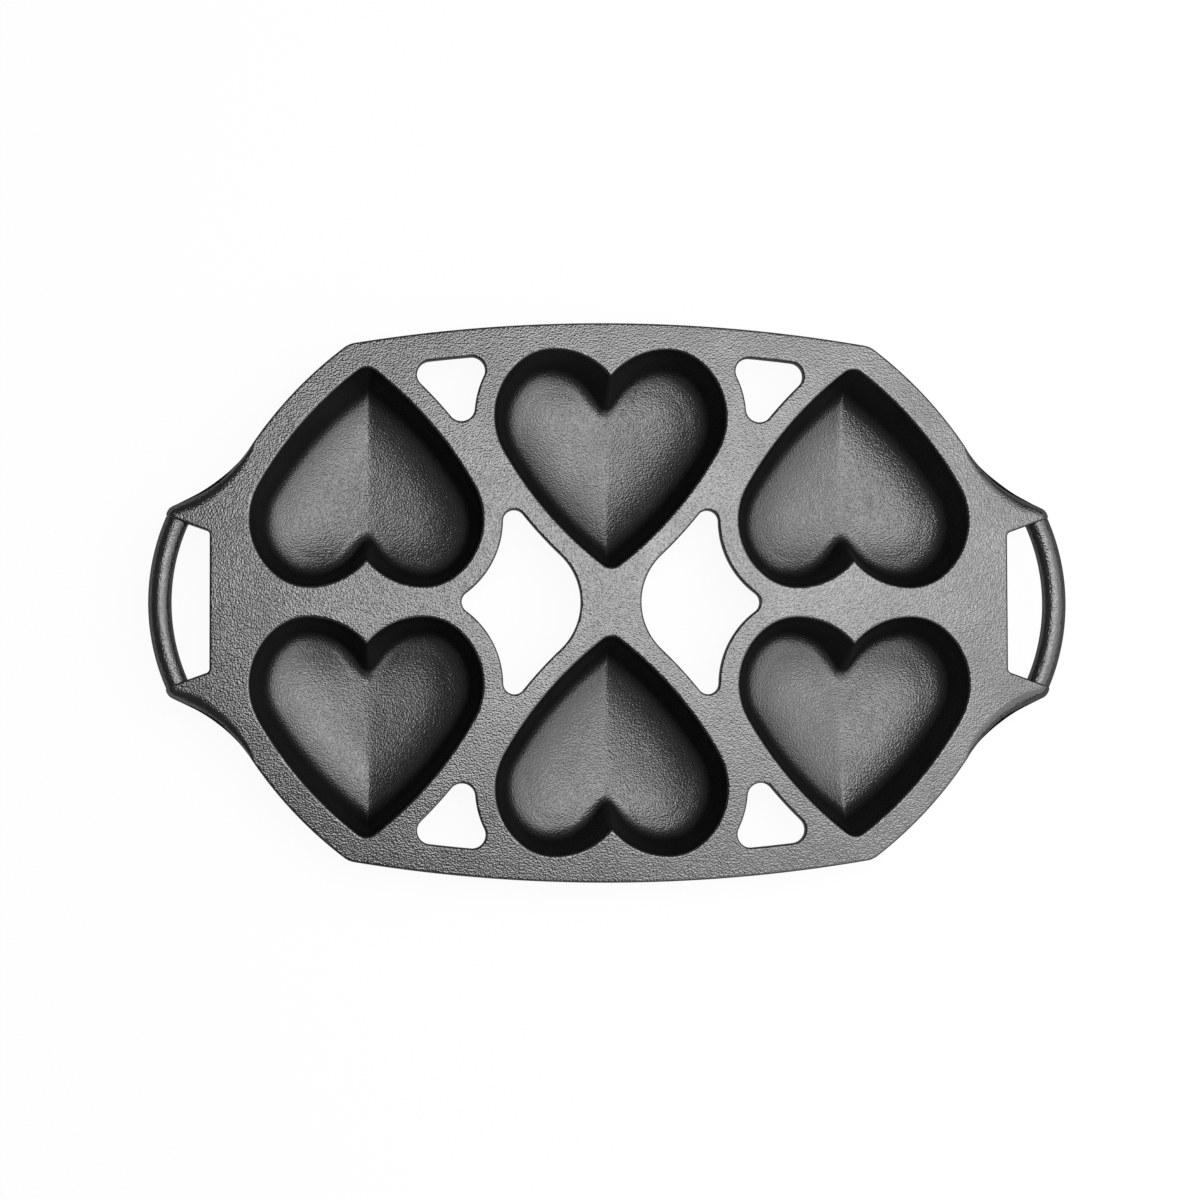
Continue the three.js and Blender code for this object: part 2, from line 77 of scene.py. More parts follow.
# %% [markdown]
# A heart is drawn as a pattern maker would draw it, as a chain of tangent arcs on each side of its axis: the inner
# lobe, the crown, the shoulder, the long side and the tip. All lengths are millimetres, as in the CAD source. A
# plan point is a complex number, x + yj, because turning and mirroring are then one multiplication.
#
# The outline can be moved inwards by an inset. The cleft then keeps its sharp point, and the tip gets sharper.

# %% The heart's arcs
PAN_HEIGHT = 32.0
LOBE_X = 24.5
LOBE_INNER_R = 31.8
LOBE_CROWN_R = 22.3
SHOULDER_R = 30.7
SIDE_R = 165.0
TIP_R = 6.0
TIP_R_LEAST = 0.8
CROWN_TOP = -math.pi / 2
CROWN_END = CROWN_TOP + math.radians(38)
SHOULDER_END = math.radians(29.5)


def heading(angle):
    return cmath.rect(1, angle)


lobe_centre = LOBE_X + 1j * LOBE_INNER_R
crown_centre = LOBE_X + 1j * LOBE_CROWN_R
shoulder_centre = crown_centre + heading(CROWN_END) * (LOBE_CROWN_R - SHOULDER_R)
side_centre = shoulder_centre + heading(SHOULDER_END) * (SHOULDER_R - SIDE_R)
CLEFT_TURN = math.asin(LOBE_X / LOBE_INNER_R)


def tip_arc(inset):
    radius = max(TIP_R - inset, TIP_R_LEAST)
    reach = SIDE_R - inset - radius
    centre = 1j * (side_centre.imag + math.sqrt(reach ** 2 - side_centre.real ** 2))
    return centre, radius, cmath.phase(centre - side_centre)


HEART_LENGTH = (tip_arc(0)[0] + 1j * TIP_R).imag
print("heart length, mm:", round(HEART_LENGTH, 2))

# %% The heart's outline at any inset
LOBE_STEPS, CROWN_STEPS, SHOULDER_STEPS, SIDE_STEPS, TIP_STEPS = 34, 10, 22, 26, 16
CLEFT_CROWDING = 1.6  # points crowd towards the cleft, where the outline turns sharply


def arc_points(centre, radius, start, end, steps):
    return centre + radius * np.exp(1j * np.linspace(start, end, steps + 1)[:-1])


def cleft_points(inset, ridge):
    """From the axis to the crown. ridge is the radius that softens the cleft's point."""
    radius = LOBE_INNER_R - inset
    turn = CLEFT_TURN if inset > 0 else math.asin(LOBE_X / radius)
    mitre = max(inset, 0) * math.tan(CLEFT_TURN)
    along = (mitre + radius * turn) * np.linspace(0, 1, LOBE_STEPS + 1)[:-1] ** CLEFT_CROWDING
    root = lobe_centre + radius * heading(CROWN_TOP - turn)
    straight = root + heading(math.pi - turn) * (mitre - along)
    curved = lobe_centre + radius * np.exp(1j * (CROWN_TOP - turn + (along - mitre) / radius))
    points = np.where(along < mitre, straight, curved)
    crest = points[0].imag - ridge / math.cos(turn)
    x = points.real
    x[0] = 0
    near = x < ridge * math.sin(turn)
    points.imag[near] = crest + np.sqrt(ridge ** 2 - x[near] ** 2)
    return points


def heart_half(inset, ridge=0.0):
    tip_centre, tip_radius, tip_start = tip_arc(inset)
    return np.concatenate([
        cleft_points(inset, ridge),
        arc_points(crown_centre, LOBE_CROWN_R - inset, CROWN_TOP, CROWN_END, CROWN_STEPS),
        arc_points(shoulder_centre, SHOULDER_R - inset, CROWN_END, SHOULDER_END, SHOULDER_STEPS),
        arc_points(side_centre, SIDE_R - inset, SHOULDER_END, tip_start, SIDE_STEPS),
        arc_points(tip_centre, tip_radius, tip_start, math.pi / 2, TIP_STEPS),
        [tip_centre + 1j * tip_radius],
    ])


def mirror_x(points):
    return -np.conj(points)


def whole_heart(half):
    return np.concatenate([half, mirror_x(half[-2:0:-1])])


print("points round a heart:", len(whole_heart(heart_half(0))))

# %% [markdown]
# The six cups stand in two rows. The corner cups point outwards and the middle cups point inwards, so the hearts
# nest and the webs between them stay even. A cup's place is the point where its axis meets its crowns' line, and
# tip is +1 or -1 for a tip towards the back or the front.

# %% Where the cups stand
LOBE_GAP = 13.0
TIP_GAP = 29.6
CUP_WEB = 18.6
corner_y = LOBE_GAP / 2
middle_y = TIP_GAP / 2 + HEART_LENGTH
rise = middle_y - corner_y - 2 * side_centre.imag
column_pitch = math.sqrt((2 * SIDE_R + CUP_WEB) ** 2 - rise ** 2) + 2 * side_centre.real
cup_places = {}
for row, back in (("back", 1), ("front", -1)):
    cup_places[f"heart_cup_{row}_left"] = (-column_pitch + 1j * back * corner_y, back)
    cup_places[f"heart_cup_{row}_middle"] = (1j * back * middle_y, -back)
    cup_places[f"heart_cup_{row}_right"] = (column_pitch + 1j * back * corner_y, back)
print("column pitch, mm:", round(column_pitch, 2))

# %% [markdown]
# Most of the pan is a skin lofted over rings: the cup's walls, the deck's rounded edges. By hand one would extrude
# a loop again and again and move each new loop into place. A grid primitive already has that weave of rows and
# columns, so here one is added with a row for each ring, its points are put in place, and its two ends are merged
# into a tube. A spline loft would leave less control over the crisp cleft.

# %% A skin over rings
MERGE = 1e-6  # metres


def ring(points, heights):
    flat = np.zeros((len(points), 3))
    flat[:, 0], flat[:, 1], flat[:, 2] = points.real, points.imag, heights
    return flat


def skin(name, rings):
    rows = np.array(rings) * MM
    bpy.ops.object.select_all(action="DESELECT")
    bpy.ops.mesh.primitive_grid_add(x_subdivisions=rows.shape[1], y_subdivisions=rows.shape[0] - 1)
    piece = bpy.context.object
    piece.name = piece.data.name = name
    closed = np.concatenate([rows, rows[:, :1]], axis=1)
    piece.data.vertices.foreach_set("co", closed.ravel())
    piece.data.update()
    return piece


def merge_and_face_out(piece):
    bpy.context.view_layer.objects.active = piece
    bpy.ops.object.mode_set(mode="EDIT")
    bpy.ops.mesh.select_all(action="SELECT")
    bpy.ops.mesh.remove_doubles(threshold=MERGE)
    bpy.ops.mesh.dissolve_degenerate(threshold=MERGE)
    bpy.ops.mesh.select_all(action="SELECT")
    bpy.ops.mesh.normals_make_consistent(inside=False)
    bpy.ops.object.mode_set(mode="OBJECT")


def open_edges(piece):
    used = np.zeros(len(piece.data.edges), int)
    loops = np.zeros(len(piece.data.loops), int)
    piece.data.loops.foreach_get("edge_index", loops)
    np.add.at(used, loops, 1)
    return np.flatnonzero(used == 1)


def select_edges(piece, chosen):
    flags = np.zeros(len(piece.data.edges), bool)
    flags[chosen] = True
    bpy.context.view_layer.objects.active = piece
    bpy.ops.object.mode_set(mode="EDIT")
    bpy.ops.mesh.select_mode(type="EDGE")
    bpy.ops.mesh.select_all(action="DESELECT")
    bpy.ops.object.mode_set(mode="OBJECT")
    piece.data.edges.foreach_set("select", flags)
    bpy.ops.object.mode_set(mode="EDIT")


# %% [markdown]
# A cup is cast with a draft, so its walls lean, and every corner has a radius that the sand can hold. Its section
# runs from the flat foot up the outside, under the deck in a hollow fillet, through the deck's thickness, over the
# rim, down the inside and into the floor. Each point of the section is a ring: how far it lies inside the rim, and
# its height. The inside leans more than the outside, so the wall thickens downwards and lets go of the cake.

# %% The cup's section
DECK_THICK = 4.5
SEAM = 0.02
WALL = 3.8
DRAFT = math.radians(10)
INSIDE_LEAN = math.radians(17)
RIM_ROUND = 1.2
FOOT_ROUND = 18.0
DECK_FILLET = 3.0
LAND_STEP = 0.6
FLAT_STRIP = 0.3  # a narrow flat beside each rounding keeps the flat faces' shading flat
FOOT_STEPS, COLLAR_STEPS, RIM_STEPS = 12, 6, 8


def outer_inset(z):
    return (PAN_HEIGHT - z) * math.tan(DRAFT) - WALL / math.cos(DRAFT)


def section_arc(inset, z, radius, start, end, steps):
    angles = np.linspace(start, end, steps + 1)
    return list(zip(inset + radius * np.cos(angles), z + radius * np.sin(angles)))


rim_land = LAND_STEP - outer_inset(PAN_HEIGHT - DECK_THICK)
underside = PAN_HEIGHT - DECK_THICK
collar_z = underside - SEAM - DECK_FILLET
collar_centre = outer_inset(collar_z) - DECK_FILLET / math.cos(DRAFT)
foot_centre = outer_inset(FOOT_ROUND) + FOOT_ROUND / math.cos(DRAFT)
rim_centre = RIM_ROUND * (math.tan(INSIDE_LEAN) - 1 / math.cos(INSIDE_LEAN))

outside = [
    *section_arc(foot_centre, FOOT_ROUND, FOOT_ROUND, -math.pi / 2, DRAFT - math.pi, FOOT_STEPS),
    *section_arc(collar_centre, collar_z, DECK_FILLET, DRAFT, math.pi / 2, COLLAR_STEPS),
    (-rim_land, underside - SEAM),
]
rim_arc = section_arc(rim_centre, PAN_HEIGHT - RIM_ROUND, RIM_ROUND, math.pi / 2, INSIDE_LEAN, RIM_STEPS)
print("rings outside and over the rim:", len(outside), len(rim_arc))

# %% [markdown]
# The floor is a shallow dish with a keel. The light shows it: each half is tilted towards the axis, where the two
# meet in a crease, and towards the wall the floor turns up and darkens. So its height rises with the distance from
# the axis, and again near the floor's edge. The cleft's wall cuts into the dish without bending it, so there the
# edge is carried straight across from crown to crown. Averaging the height over a small disc softens the crease a
# little, and a wider disc smooths the lobes and lets the crease fade out on the way to the cleft.

# %% The floor's height
FLOOR_THICK = 4.0
DISH_DROP = 5.6
DISH_REACH = 38.0
DISH_POWER = 4
DISH_START = 6.5
KEEL_SLOPE = 0.075
CREASE_SOFT = 1.4
MIDDLE_SOFT = 8.0
SOFT_DEPTH = (9.0, 21.0)
SOFT_SIDE = (6.0, 16.0)
CREASE_FADE = (50.0, 26.0)
EDGE_RUN = 60.0  # the edge's straight run past the axis
DISC_SPOTS = 10
DISC_RINGS = (0.5, 0.87)


def smoothstep(low, high, value):
    share = np.clip((value - low) / (high - low), 0, 1)
    return share * share * (3 - 2 * share)


edge_half = heart_half(DISH_START)[LOBE_STEPS:]
edge_line = np.concatenate([[edge_half[0] - EDGE_RUN], edge_half])
disc = np.array([0] + [
    share * heading(2 * math.pi * (i + share) / DISC_SPOTS) for share in DISC_RINGS for i in range(DISC_SPOTS)])


def depth_in(points):
    """Distance from the dish's edge, measured on the point's own side of the axis."""
    folded = np.abs(points.real) + 1j * points.imag
    start, step = edge_line[:-1], np.diff(edge_line)
    away = folded[:, None] - start[None, :]
    share = np.clip((away * np.conj(step)).real / np.abs(step) ** 2, 0, 1)
    return np.abs(away - share * step).min(axis=1)


def floor_height(points):
    depth = depth_in(points)
    lobes = smoothstep(*SOFT_DEPTH, depth) * smoothstep(*SOFT_SIDE, np.abs(points.real))
    fading = 1 - smoothstep(CREASE_FADE[1], CREASE_FADE[0], points.imag)
    soft = CREASE_SOFT + (MIDDLE_SOFT - CREASE_SOFT) * np.maximum(lobes, fading)
    soft = np.minimum(soft, depth)
    near = points + soft * disc[:, None]
    rises = [DISH_DROP * np.clip(1 - depth_in(spots) / DISH_REACH, 0, 1) ** DISH_POWER for spots in near]
    return FLOOR_THICK + np.mean(rises + KEEL_SLOPE * np.abs(near.real), axis=0)


print("floor on the axis, mm:", floor_height(1j * np.array([30.0, 45.0, 60.0, 75.0])).round(2))

# %% [markdown]
# A fillet joins the wall to the floor. It is wide nearly all round, and tight at the cleft, which ends in a point.
# Where wall and floor meet depends on how high and how steep the floor is there, so the meeting line is found in a
# few rounds, each starting from the line before. At the cleft the wall goes deepest.

# %% Where the wall meets the floor
FLOOR_FILLET = 8.5
CLEFT_FILLET = 4.5
FILLET_EASE = 12.0  # from the cleft, the distance over which the fillet widens
MEETING_ROUNDS = 6
FILLET_ROWS = 10
WALL_ROWS = (0.25, 0.5, 0.75)


def heart_points(insets, ridges):
    """Half a heart with its own inset and ridge at each point."""
    return np.array([heart_half(inset, ridge)[i] for i, (inset, ridge) in enumerate(zip(insets, ridges))])


rim_half = heart_half(0)
count = len(rim_half)
sharp = np.zeros(count)
from_cleft = np.where(np.arange(count) < LOBE_STEPS, rim_half.real, FILLET_EASE)
fillet_round = CLEFT_FILLET + (FLOOR_FILLET - CLEFT_FILLET) * smoothstep(0, FILLET_EASE, from_cleft)
edge_heights = np.full(count, FLOOR_THICK + DISH_DROP)
edge_slopes = np.full(count, math.atan2(DISH_POWER * DISH_DROP, DISH_REACH))
for _ in range(MEETING_ROUNDS):
    fillet_z = edge_heights + fillet_round * np.cos(edge_slopes)
    fillet_centre = (PAN_HEIGHT - fillet_z) * math.tan(INSIDE_LEAN) + fillet_round / math.cos(INSIDE_LEAN)
    floor_edge = fillet_centre - fillet_round * np.sin(edge_slopes)
    meeting = heart_points(floor_edge, sharp)
    inwards = heart_points(floor_edge + 1, sharp) - meeting
    inwards[:LOBE_STEPS] = (lobe_centre - meeting)[:LOBE_STEPS]
    edge_heights = floor_height(meeting)
    edge_slopes = np.arctan(edge_heights - floor_height(meeting + inwards / np.abs(inwards)))
inside = [(rim_centre - FLAT_STRIP, PAN_HEIGHT), *rim_arc]
fillet = []
for share in np.linspace(0, 1, FILLET_ROWS):
    angles = math.pi + INSIDE_LEAN + (math.pi / 2 - INSIDE_LEAN - edge_slopes) * share
    fillet.append((fillet_centre + fillet_round * np.cos(angles), fillet_z + fillet_round * np.sin(angles)))
for share in WALL_ROWS:
    inside.append(tuple(top + (foot - top) * share for top, foot in zip(rim_arc[-1], fillet[0])))
inside += fillet
print("floor edge at cleft, crown and tip, mm:", floor_edge[[0, LOBE_STEPS, -1]], edge_heights[[0, LOBE_STEPS, -1]])

# %% [markdown]
# The rings of the section and the rows of the floor now make one cup. The last rows of the floor run from the last
# ring to a line of points on the heart's axis, where the two halves meet and merge. The foot is closed with one
# flat face, because it is hidden by the table and never bends.

# %% Rings of one cup
RIDGE_AT_RIM = 0.7
RIDGE_GROWTH = 0.3
GROOVE_ROUND = 2.5
DISH_RINGS = (0.08, 0.16, 0.24, 0.34, 0.45, 0.56, 0.67, 0.78, 0.89, 1.0)
LAST_RING = 17.6
SPINE_ROWS = 16
SPINE_START = 5.0
SPINE_END = 1.2


def whole_heights(half):
    return np.concatenate([half, half[-2:0:-1]])


cup_rings = [ring(whole_heart(heart_half(inset, GROOVE_ROUND)), z) for inset, z in outside[:-1]]
cup_rings += [ring(whole_heart(heart_half(-rim_land)), z) for z in (outside[-1][1], PAN_HEIGHT)]
for inset, z in inside:
    insets, heights = np.full(count, inset), np.full(count, z)
    half = heart_points(insets, RIDGE_AT_RIM + RIDGE_GROWTH * np.maximum(insets, 0))
    cup_rings.append(ring(whole_heart(half), whole_heights(heights)))
for share in DISH_RINGS:
    half = heart_points(floor_edge + (LAST_RING - floor_edge) * share, RIDGE_AT_RIM + RIDGE_GROWTH * floor_edge)
    cup_rings.append(ring(whole_heart(half), whole_heights(floor_height(half))))

spine = 1j * np.linspace(half[0].imag + SPINE_START, half[-1].imag - SPINE_END, len(half))
for row in range(1, SPINE_ROWS + 1):
    inner = half + (spine - half) * row / SPINE_ROWS
    heights = floor_height(inner)
    cup_rings.append(ring(whole_heart(inner), whole_heights(heights)))
print("rings of a cup:", len(cup_rings), "lowest floor, mm:", round(float(heights.min()), 2))

# %% One cup
SMOOTH_ANGLE = math.radians(32)  # sharper corners keep their edge

cup = skin("heart_cup", cup_rings)
merge_and_face_out(cup)
select_edges(cup, open_edges(cup))
bpy.ops.mesh.edge_face_add()
bpy.ops.object.mode_set(mode="OBJECT")
merge_and_face_out(cup)
bpy.ops.object.select_all(action="DESELECT")
cup.select_set(True)
bpy.ops.object.shade_smooth_by_angle(angle=SMOOTH_ANGLE)
print("cup:", len(cup.data.vertices), "points,", len(open_edges(cup)), "open edges")

# %% Six cups
pan_pieces = {}
for name, (place, tip) in cup_places.items():
    bpy.ops.object.select_all(action="DESELECT")
    cup.select_set(True)
    bpy.context.view_layer.objects.active = cup
    bpy.ops.object.duplicate()
    copy = bpy.context.object
    copy.name = copy.data.name = name + "_cast"
    turned = Matrix.Rotation(0 if tip > 0 else math.pi, 4, "Z")
    copy.data.transform(Matrix.Translation((place.real * MM, place.imag * MM, 0)) @ turned)
    pan_pieces[name] = copy
bpy.data.objects.remove(cup)
print("cups:", sorted(pan_pieces))

# %% [markdown]
# The deck's outline is also a chain of lines and arcs with rounded corners. A rounded corner's centre lies where
# the two edges would cross if both were moved inwards by the radius. These few helpers find such crossings. A line
# has a start and a direction, and an arc turns left (+1) or right (-1) about its centre.

# %% Lines, arcs and rounded corners
Line = namedtuple("Line", "start angle")
Arc = namedtuple("Arc", "centre radius turn")
Corner = namedtuple("Corner", "edge start end")


def dot(a, b):
    return (a * b.conjugate()).real


def cross(a, b):
    return (a.conjugate() * b).imag


def moved_left(edge, distance):
    if isinstance(edge, Arc):
        return edge._replace(radius=edge.radius - edge.turn * distance)
    return edge._replace(start=edge.start + 1j * heading(edge.angle) * distance)


def line_meets_arc(line, arc):
    along = heading(line.angle)
    foot = line.start + along * dot(arc.centre - line.start, along)
    half = math.sqrt(arc.radius ** 2 - abs(foot - arc.centre) ** 2)
    return [foot - along * half, foot + along * half]


def arc_meets_arc(a, b):
    apart = abs(b.centre - a.centre)
    unit = (b.centre - a.centre) / apart
    along = (a.radius ** 2 - b.radius ** 2 + apart ** 2) / (2 * apart)
    half = math.sqrt(a.radius ** 2 - along ** 2)
    return [a.centre + unit * (along - 1j * half), a.centre + unit * (along + 1j * half)]


def line_meets_line(a, b):
    u, v = heading(a.angle), heading(b.angle)
    return [a.start + u * cross(b.start - a.start, v) / cross(u, v)]


def crossing(a, b, near):
    if isinstance(a, Arc) and isinstance(b, Arc):
        found = arc_meets_arc(a, b)
    elif isinstance(a, Arc):
        found = line_meets_arc(b, a)
    elif isinstance(b, Arc):
        found = line_meets_arc(a, b)
    else:
        found = line_meets_line(a, b)
    return min(found, key=lambda p: abs(p - near))


def touch(edge, other):
    if isinstance(edge, Arc):
        return edge.centre + (other - edge.centre) / abs(other - edge.centre) * edge.radius
    along = heading(edge.angle)
    return edge.start + along * dot(other - edge.start, along)


def rounded_corner(before, after, radius, turn, near):
    centre = crossing(moved_left(before, turn * radius), moved_left(after, turn * radius), near)
    return Corner(Arc(centre, radius, turn), touch(before, centre), touch(after, centre))


# %% Points along an edge
POINT_SPACING = 2.2
POINT_TURN = math.radians(4)


def along_edge(edge, start, end):
    """Points from start to just before end, and the outward direction at each."""
    if isinstance(edge, Line):
        steps = max(1, math.ceil(abs(end - start) / POINT_SPACING))
        points = start + (end - start) * np.arange(steps) / steps
        return points, np.full(steps, -1j * heading(edge.angle))
    first = cmath.phase(start - edge.centre)
    span = edge.turn * (edge.turn * (cmath.phase(end - edge.centre) - first) % (2 * math.pi))
    steps = max(3, math.ceil(abs(span) / POINT_TURN), math.ceil(abs(span) * edge.radius / POINT_SPACING))
    spokes = np.exp(1j * (first + span * np.arange(steps) / steps))
    return edge.centre + edge.radius * spokes, edge.turn * spokes


# %% [markdown]
# The windows between the cups follow the hearts: each side of a window is an arc about the same centre as the
# cup's wall beside it, so the web of iron between them has an even width.

# %% The windows' outlines
KITE_WEB = 8.6
KITE_POINT_ROUND = 4.8
KITE_NOSE_ROUND = 28.0
TRIANGLE_WEB = 8.7
TRIANGLE_MARGIN = 12.0
TRIANGLE_ROUND = 5.8
DECK_MARGIN = 11.4


def on_deck(cup_name, point):
    place, tip = cup_places[cup_name]
    return place + tip * point


outer_side = on_deck("heart_cup_back_right", side_centre)
inner_side = on_deck("heart_cup_back_right", complex(mirror_x(side_centre)))
inner_shoulder = on_deck("heart_cup_back_right", complex(mirror_x(shoulder_centre)))
middle_side = on_deck("heart_cup_back_middle", complex(mirror_x(side_centre)))
middle_shoulder = on_deck("heart_cup_back_middle", complex(mirror_x(shoulder_centre)))
long_edge_top = middle_y + DECK_MARGIN
long_edge_fall = middle_y - (corner_y + HEART_LENGTH)
long_edge_r = (column_pitch ** 2 + long_edge_fall ** 2) / (2 * long_edge_fall)
long_edge_centre = 1j * (long_edge_top - long_edge_r)


def rounded_loop(edges, radii, middle):
    sides = len(edges)
    corners = [rounded_corner(edges[i], edges[(i + 1) % sides], radii[i], 1, middle) for i in range(sides)]
    parts = []
    for i, corner in enumerate(corners):
        parts.append(along_edge(*corner))
        parts.append(along_edge(edges[(i + 1) % sides], corner.end, corners[(i + 1) % sides].start))
    return [np.concatenate(arrays) for arrays in zip(*parts)]


kite = rounded_loop([
    Arc(inner_shoulder, SHOULDER_R + KITE_WEB, -1),
    Arc(middle_side, SIDE_R + KITE_WEB, -1),
    Arc(middle_side.conjugate(), SIDE_R + KITE_WEB, -1),
    Arc(inner_shoulder.conjugate(), SHOULDER_R + KITE_WEB, -1),
], [KITE_POINT_ROUND, KITE_NOSE_ROUND, KITE_POINT_ROUND, KITE_POINT_ROUND], column_pitch / 2)
triangle = rounded_loop([
    Arc(inner_side, SIDE_R + TRIANGLE_WEB, -1),
    Arc(long_edge_centre, long_edge_r - TRIANGLE_MARGIN, 1),
    Arc(middle_shoulder, SHOULDER_R + TRIANGLE_WEB, -1),
], [TRIANGLE_ROUND] * 3, (middle_shoulder + column_pitch + 1j * long_edge_top) / 2)
print("points round a kite and a triangle window:", len(kite[0]), len(triangle[0]))

# %% [markdown]
# The deck's outline in its back right quarter runs from the finger gap round the horn of the handle, along the
# hollow flank and the rounded corner to the middle of the long edge. Most of its top edge has a small even
# rounding. Towards the horn's tip the rounding grows until it is as full as the round bar of the grip, which the
# horn runs into. So each stretch also says how far the rounding reaches in, and how far it drops.

# %% The handle's plan
END_LAND = 16.9
FINGER_GAP = 16.7
FINGER_SPAN = 60.0
GRIP_WIDTH = 10.0
GRIP_HEIGHT = 9.2
GRIP_SWEEP_R = 87.6
GRIP_SINK = 0.8
HORN_FLARE = math.radians(20)
HORN_SLOPE = math.radians(25)
HORN_POINT = 4.0
HORN_STEP = 0.3

deck_end = column_pitch + shoulder_centre.real + SHOULDER_R + END_LAND
gap_corner = deck_end + 1j * FINGER_SPAN / 2
grip_centre_x = deck_end + FINGER_GAP + GRIP_WIDTH / 2 - GRIP_SWEEP_R
along_horn = heading(HORN_FLARE)
horn_inner = Line(gap_corner, HORN_FLARE)
grip_outer = Arc(complex(grip_centre_x), GRIP_SWEEP_R + GRIP_WIDTH / 2, 1)
horn_root = crossing(horn_inner, grip_outer, gap_corner + along_horn * FINGER_GAP)
horn_corner = horn_root + along_horn * HORN_POINT
grip_top = PAN_HEIGHT - GRIP_SINK
grip_bottom = grip_top - GRIP_HEIGHT
print("horn corner, mm:", horn_corner)

# %% The deck's outline in one quarter
GAP_CORNER_ROUND = 2.0
HORN_HEEL_ROUND = 1.4
HORN_TIP_ROUND = 5.0
HORN_SWEEP_R = 65.0
CORNER_ROUND = 10.0

deck_end_line = Line(complex(deck_end), math.pi / 2)
horn_end = Line(horn_root + along_horn * HORN_STEP, HORN_FLARE + math.pi / 2)
horn_outer = Line(horn_corner, math.pi - HORN_SLOPE)
flank = Arc(outer_side, SIDE_R + DECK_MARGIN, 1)
long_edge = Arc(long_edge_centre, long_edge_r, 1)
gap_turn = rounded_corner(deck_end_line, horn_inner, GAP_CORNER_ROUND, -1, gap_corner)
heel_turn = rounded_corner(horn_inner, horn_end, HORN_HEEL_ROUND, 1, horn_root)
tip_turn = rounded_corner(horn_end, horn_outer, HORN_TIP_ROUND, 1, horn_corner)
sweep_turn = rounded_corner(horn_outer, flank, HORN_SWEEP_R, -1, horn_corner)
corner_turn = rounded_corner(flank, long_edge, CORNER_ROUND, 1, column_pitch + 1j * long_edge_top)
quarter = {
    "gap": along_edge(*gap_turn),
    "horn_inner": along_edge(horn_inner, gap_turn.end, heel_turn.start),
    "heel": along_edge(*heel_turn),
    "horn_end": along_edge(horn_end, heel_turn.end, tip_turn.start),
    "horn_tip": along_edge(*tip_turn),
    "horn_outer": along_edge(horn_outer, tip_turn.end, sweep_turn.start),
    "sweep": along_edge(*sweep_turn),
    "flank": along_edge(flank, sweep_turn.end, corner_turn.start),
    "corner": along_edge(*corner_turn),
    "long_edge": along_edge(long_edge, corner_turn.end, 1j * long_edge_top),
}
print("points of each stretch:", {name: len(points) for name, (points, _) in quarter.items()})

# %% [markdown]
# On the sweep the rounding grows steadily from the flank to the horn. Near the heel the horn's inner edge bends
# down as the bar does, so the flat top's corner lies well inside the heel, and all points of the heel lead to it.

# %% How far the deck's edge is rounded
EDGE_ROUND = 1.0
HORN_ROUND_IN = 4.7
HORN_BACK_ROUND_IN = 6.5
HORN_ROUND_DOWN = 5.0
HORN_GROWTH = 0.6
HEEL_REACH = 11.0

out_inner, out_end = -1j * along_horn, along_horn
sharp_heel = crossing(horn_inner, horn_end, horn_root)
flat_heel = sharp_heel - EDGE_ROUND * out_inner - HORN_ROUND_IN * out_end


def bar_drop(along):
    """How far the bar's rounding has dropped at a distance from the horn's end."""
    short = np.clip(HORN_ROUND_DOWN - along, 0, HORN_ROUND_DOWN)
    return HORN_ROUND_DOWN - np.sqrt(HORN_ROUND_DOWN ** 2 - short ** 2)


def edge_rounding(name, points, out):
    """Each point's reach inwards, the flat strip's direction, and the drop."""
    reach, drop = EDGE_ROUND * out, np.full(len(points), EDGE_ROUND)
    if name == "horn_inner":
        along = np.array([dot(sharp_heel - p, along_horn) for p in points])
        share = np.clip((HEEL_REACH - along) / (HEEL_REACH - HORN_HEEL_ROUND), 0, 1)
        reach = reach + share * (HORN_ROUND_IN - HORN_HEEL_ROUND) * out_end
        drop = EDGE_ROUND + bar_drop(along)
    elif name == "heel":
        reach = points - flat_heel
        out = np.full(len(points), out_inner + out_end)
        start = EDGE_ROUND + float(bar_drop(HORN_HEEL_ROUND))
        drop = start + (HORN_ROUND_DOWN - start) * np.linspace(0, 1, len(points))
    elif name in ("horn_end", "horn_tip"):
        reach, drop = HORN_ROUND_IN * out, np.full(len(points), HORN_ROUND_DOWN)
    elif name == "horn_outer":
        share = np.arange(len(points)) / len(points)
        reach = (HORN_ROUND_IN + (HORN_BACK_ROUND_IN - HORN_ROUND_IN) * share) * out
        drop = np.full(len(points), HORN_ROUND_DOWN)
    elif name == "sweep":
        share = (1 - np.arange(len(points)) / len(points)) ** HORN_GROWTH
        reach = (EDGE_ROUND + (HORN_BACK_ROUND_IN - EDGE_ROUND) * share) * out
        drop = EDGE_ROUND + (HORN_ROUND_DOWN - EDGE_ROUND) * share
    return reach, out, drop


stretches = [(points, *edge_rounding(name, points, out)) for name, (points, out) in quarter.items()]
stretches.append(([1j * long_edge_top], [1j * EDGE_ROUND], [1j], [EDGE_ROUND]))
quarter_edge = [np.concatenate(arrays) for arrays in zip(*stretches)]


def mirrored(arrays, mirror, skip):
    turned = [mirror(values) if np.iscomplexobj(values) else values for values in arrays]
    return [values[::-1][skip:] for values in turned]


back_edge = [np.concatenate(pair) for pair in zip(quarter_edge, mirrored(quarter_edge, mirror_x, 1))]
deck_edge = [np.concatenate(pair) for pair in zip(back_edge, mirrored(back_edge, np.conj, 0))]
print("points round the deck:", len(deck_edge[0]))

# %% [markdown]
# An edge of the deck is a strip of rings: a narrow flat, the rounding of the top, the upright side and a smaller
# rounding below. The same strip serves the outline and the windows, where it leans the other way. The deck is thin
# between the handles and swells under the horns to the depth of the grips.

